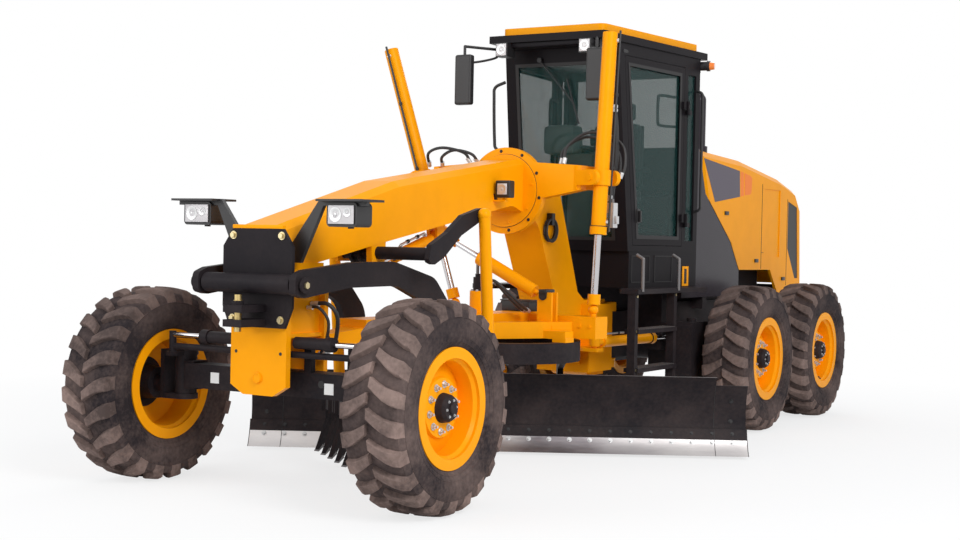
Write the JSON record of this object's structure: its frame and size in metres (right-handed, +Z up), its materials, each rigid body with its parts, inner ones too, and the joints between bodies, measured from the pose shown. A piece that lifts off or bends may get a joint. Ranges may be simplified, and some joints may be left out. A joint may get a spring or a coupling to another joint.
{
  "type": "motor grader",
  "caption": "Articulated motor grader with a turned moldboard under its arched frame, a V scarifier behind the front axle, tandem rear wheels and a glazed cab",
  "frame": {"origin": "on the ground under the middle of the overall box", "axes": "+X to the front of the machine, +Y to its left, +Z up"},
  "size_m": [8.944, 3.441, 3.476],
  "materials": {
    "yellow": "satin paint",
    "black": "satin paint",
    "steel": "worn bare steel",
    "rod": "hard chrome",
    "tyre": "dusty rubber",
    "glass": "tinted",
    "cloth": "woven",
    "plastic": "moulded",
    "iron": "painted cast"
  },
  "bodies": {
    "rear_frame": {"rear_frame": "yellow", "rear_rails": "yellow", "rear_axle": "black", "engine": "iron", "hood": "yellow", "grille": "black", "shroud": "black", "cab_frame": "black", "cab_roof": "yellow", "cab_glass": "glass", "seat": "cloth", "console": "plastic", "platform": "black", "mirrors_and_lamps": "black"},
    "door_left": {"door_left": "black", "door_glass_left": "glass"},
    "door_right": {"door_right": "black", "door_glass_right": "glass"},
    "front_frame": {"front_frame": "yellow", "head_plate": "black", "headlamps": "black", "front_axle": "black"},
    "wheel_middle_left": {"tyre_middle_left": "tyre", "rim_middle_left": "yellow"},
    "wheel_middle_right": {"tyre_middle_right": "tyre", "rim_middle_right": "yellow"},
    "wheel_rear_left": {"tyre_rear_left": "tyre", "rim_rear_left": "yellow"},
    "wheel_rear_right": {"tyre_rear_right": "tyre", "rim_rear_right": "yellow"},
    "knuckle_left": {"knuckle_left": "black"},
    "wheel_front_left": {"tyre_front_left": "tyre", "rim_front_left": "yellow"},
    "knuckle_right": {"knuckle_right": "black"},
    "wheel_front_right": {"tyre_front_right": "tyre", "rim_front_right": "yellow"},
    "steering_links": {"steering_links": "black"},
    "drawbar_ball": {"drawbar_ball": "black"},
    "drawbar": {"drawbar": "yellow"},
    "circle": {"circle": "black"},
    "blade_tilt": {"blade_tilt": "black"},
    "blade": {"blade": "black", "blade_edge": "steel"},
    "lift_barrel_left": {"lift_barrel_left": "yellow"},
    "lift_rod_left": {"lift_rod_left": "rod"},
    "lift_barrel_right": {"lift_barrel_right": "yellow"},
    "lift_rod_right": {"lift_rod_right": "rod"},
    "shift_barrel": {"shift_barrel": "yellow"},
    "shift_rod": {"shift_rod": "rod"},
    "tip_barrel": {"tip_barrel": "yellow"},
    "tip_rod": {"tip_rod": "rod"},
    "articulation_barrel_left": {"articulation_barrel_left": "yellow"},
    "articulation_rod_left": {"articulation_rod_left": "rod"},
    "articulation_barrel_right": {"articulation_barrel_right": "yellow"},
    "articulation_rod_right": {"articulation_rod_right": "rod"},
    "scarifier": {"scarifier": "black"},
    "scarifier_shaft": {"scarifier_shaft": "black"},
    "scarifier_links": {"scarifier_links": "yellow"},
    "scarifier_barrel": {"scarifier_barrel": "yellow"},
    "scarifier_rod": {"scarifier_rod": "rod"}
  },
  "joints": [
    {"name": "articulation", "type": "hinge", "parent": "rear_frame", "child": "front_frame", "pos_m": [-0.672, -0.116, 0.85], "axis": [0, 0, 1], "range_deg": [-25, 25]},
    {"name": "door_left", "type": "hinge", "parent": "rear_frame", "child": "door_left", "pos_m": [-0.974, 0.56892, 2.4], "axis": [0, 0, 1], "range_deg": [0, 85]},
    {"name": "door_right", "type": "hinge", "parent": "rear_frame", "child": "door_right", "pos_m": [-0.974, -0.80092, 2.4], "axis": [0, 0, 1], "range_deg": [-85, 0]},
    {"name": "wheel_middle_left", "type": "hinge", "parent": "rear_frame", "child": "wheel_middle_left", "pos_m": [-1.523, 0.979, 0.654], "axis": [0, 1, 0], "continuous": true},
    {"name": "wheel_middle_right", "type": "hinge", "parent": "rear_frame", "child": "wheel_middle_right", "pos_m": [-1.523, -1.211, 0.654], "axis": [0, 1, 0], "continuous": true},
    {"name": "wheel_rear_left", "type": "hinge", "parent": "rear_frame", "child": "wheel_rear_left", "pos_m": [-3.061, 0.979, 0.654], "axis": [0, 1, 0], "continuous": true},
    {"name": "wheel_rear_right", "type": "hinge", "parent": "rear_frame", "child": "wheel_rear_right", "pos_m": [-3.061, -1.211, 0.654], "axis": [0, 1, 0], "continuous": true},
    {"name": "steer_left", "type": "hinge", "parent": "front_frame", "child": "knuckle_left", "pos_m": [3.818, 0.699, 0.73], "axis": [0, 0, 1], "range_deg": [-42, 42]},
    {"name": "wheel_front_left", "type": "hinge", "parent": "knuckle_left", "child": "wheel_front_left", "pos_m": [3.818, 1.014, 0.654], "axis": [0, 1, 0], "continuous": true},
    {"name": "steer_right", "type": "hinge", "parent": "front_frame", "child": "knuckle_right", "pos_m": [3.818, -0.931, 0.73], "axis": [0, 0, 1], "range_deg": [-42, 42]},
    {"name": "wheel_front_right", "type": "hinge", "parent": "knuckle_right", "child": "wheel_front_right", "pos_m": [3.818, -1.246, 0.654], "axis": [0, 1, 0], "continuous": true},
    {"name": "steering_links", "type": "slide", "parent": "front_frame", "child": "steering_links", "axis": [0, 1, 0], "range_m": [-0.11, 0.11]},
    {"name": "drawbar_lift", "type": "hinge", "parent": "front_frame", "child": "drawbar_ball", "pos_m": [3.408, -0.116, 0.98], "axis": [0, 1, 0], "range_deg": [-11, 10.5]},
    {"name": "drawbar_swing", "type": "hinge", "parent": "drawbar_ball", "child": "drawbar", "pos_m": [3.408, -0.116, 0.98], "axis": [-0.5143, 0.1706, -0.8404], "range_deg": [-8, 8]},
    {"name": "circle_turn", "type": "hinge", "parent": "drawbar", "child": "circle", "pos_m": [1.23207, 0.01709, 0.82], "axis": [0, 0, 1], "range_deg": [-70, 15]},
    {"name": "blade_tip", "type": "hinge", "parent": "circle", "child": "blade_tilt", "pos_m": [1.04777, -0.09365, 0.215], "axis": [-0.515, 0.8572, 0], "range_deg": [-3, 20]},
    {"name": "blade_shift", "type": "slide", "parent": "blade_tilt", "child": "blade", "axis": [-0.515, 0.8572, 0], "range_m": [-0.5, 0.5]},
    {"name": "lift_barrel_left", "type": "hinge", "parent": "front_frame", "child": "lift_barrel_left", "pos_m": [0.971, 0.71, 2.17], "axis": [0.9474, -0.3201, 0], "range_deg": [-18, 18]},
    {"name": "lift_rod_left", "type": "slide", "parent": "lift_barrel_left", "child": "lift_rod_left", "axis": [-0.0506, 0.0184, 0.9985], "range_m": [-0.47, 0.45]},
    {"name": "lift_barrel_right", "type": "hinge", "parent": "front_frame", "child": "lift_barrel_right", "pos_m": [0.971, -0.942, 2.17], "axis": [-0.9856, -0.169, 0], "range_deg": [-18, 18]},
    {"name": "lift_rod_right", "type": "slide", "parent": "lift_barrel_right", "child": "lift_rod_right", "axis": [0.0269, -0.2949, 0.9551], "range_m": [-0.47, 0.45]},
    {"name": "shift_barrel", "type": "hinge", "parent": "drawbar", "child": "shift_barrel", "pos_m": [1.19355, 0.3701, 1.225], "axis": [0.9981, -0.061, 0], "range_deg": [-32, 32]},
    {"name": "shift_rod", "type": "slide", "parent": "shift_barrel", "child": "shift_rod", "axis": [0.0004, -0.8952, 0.4458], "range_m": [-0.36, 0.36]},
    {"name": "tip_barrel", "type": "hinge", "parent": "circle", "child": "tip_barrel", "pos_m": [0.88063, -0.19408, 0.69], "axis": [-0.515, 0.8572, 0], "range_deg": [-15, 15]},
    {"name": "tip_rod", "type": "slide", "parent": "tip_barrel", "child": "tip_rod", "axis": [0.6155, 0.3698, -0.696], "range_m": [-0.03, 0.12]},
    {"name": "articulation_barrel_left", "type": "hinge", "parent": "front_frame", "child": "articulation_barrel_left", "pos_m": [0.208, 0.294, 0.835], "axis": [0, 0, 1], "range_deg": [-12, 12]},
    {"name": "articulation_rod_left", "type": "slide", "parent": "articulation_barrel_left", "child": "articulation_rod_left", "axis": [-0.9987, 0.051, 0], "range_m": [-0.24, 0.24]},
    {"name": "articulation_barrel_right", "type": "hinge", "parent": "front_frame", "child": "articulation_barrel_right", "pos_m": [0.208, -0.526, 0.835], "axis": [0, 0, 1], "range_deg": [-12, 12]},
    {"name": "articulation_rod_right", "type": "slide", "parent": "articulation_barrel_right", "child": "articulation_rod_right", "axis": [-0.9987, -0.051, 0], "range_m": [-0.24, 0.24]},
    {"name": "scarifier", "type": "hinge", "parent": "front_frame", "child": "scarifier", "pos_m": [4.143, -0.116, 1.368], "axis": [0, 1, 0], "range_deg": [-14, 2]},
    {"name": "scarifier_shaft", "type": "hinge", "parent": "front_frame", "child": "scarifier_shaft", "pos_m": [2.998, -0.116, 1.566], "axis": [0, 1, 0], "range_deg": [-45, 45]},
    {"name": "scarifier_links", "type": "hinge", "parent": "scarifier", "child": "scarifier_links", "pos_m": [2.298, -0.116, 0.5], "axis": [0, 1, 0], "range_deg": [-15, 15]},
    {"name": "scarifier_barrel", "type": "hinge", "parent": "front_frame", "child": "scarifier_barrel", "pos_m": [2.038, -0.116, 1.69], "axis": [0, 1, 0], "range_deg": [-10, 10]},
    {"name": "scarifier_rod", "type": "slide", "parent": "scarifier_barrel", "child": "scarifier_rod", "axis": [0.9615, 0, -0.2747], "range_m": [-0.12, 0.12]}
  ],
  "couplings": [
    {"joint": "steer_right", "follows": "steer_left", "ratio": 1},
    {"joint": "steering_links", "follows": "steer_left", "m_per_rad": 0.14},
    {"joint": "lift_barrel_left", "follows": "drawbar_swing", "ratio": 2.069},
    {"joint": "lift_rod_left", "follows": "drawbar_lift", "m_per_rad": 2.376},
    {"joint": "lift_barrel_right", "follows": "drawbar_swing", "ratio": -2.0622},
    {"joint": "lift_rod_right", "follows": "drawbar_lift", "m_per_rad": 2.352},
    {"joint": "shift_barrel", "follows": "drawbar_lift", "ratio": 1.7835},
    {"joint": "shift_rod", "follows": "drawbar_swing", "m_per_rad": 1.6963},
    {"joint": "tip_barrel", "follows": "blade_tip", "ratio": -0.48505},
    {"joint": "tip_rod", "follows": "blade_tip", "m_per_rad": 0.24083},
    {"joint": "articulation_barrel_left", "follows": "articulation", "ratio": -0.3699},
    {"joint": "articulation_rod_left", "follows": "articulation", "m_per_rad": -0.45006},
    {"joint": "articulation_barrel_right", "follows": "articulation", "ratio": -0.3699},
    {"joint": "articulation_rod_right", "follows": "articulation", "m_per_rad": 0.45006},
    {"joint": "scarifier_shaft", "follows": "scarifier", "ratio": 2.8418},
    {"joint": "scarifier_links", "follows": "scarifier", "ratio": -0.01051},
    {"joint": "scarifier_barrel", "follows": "scarifier", "ratio": -0.00979},
    {"joint": "scarifier_rod", "follows": "scarifier", "m_per_rad": -0.42057}
  ]
}
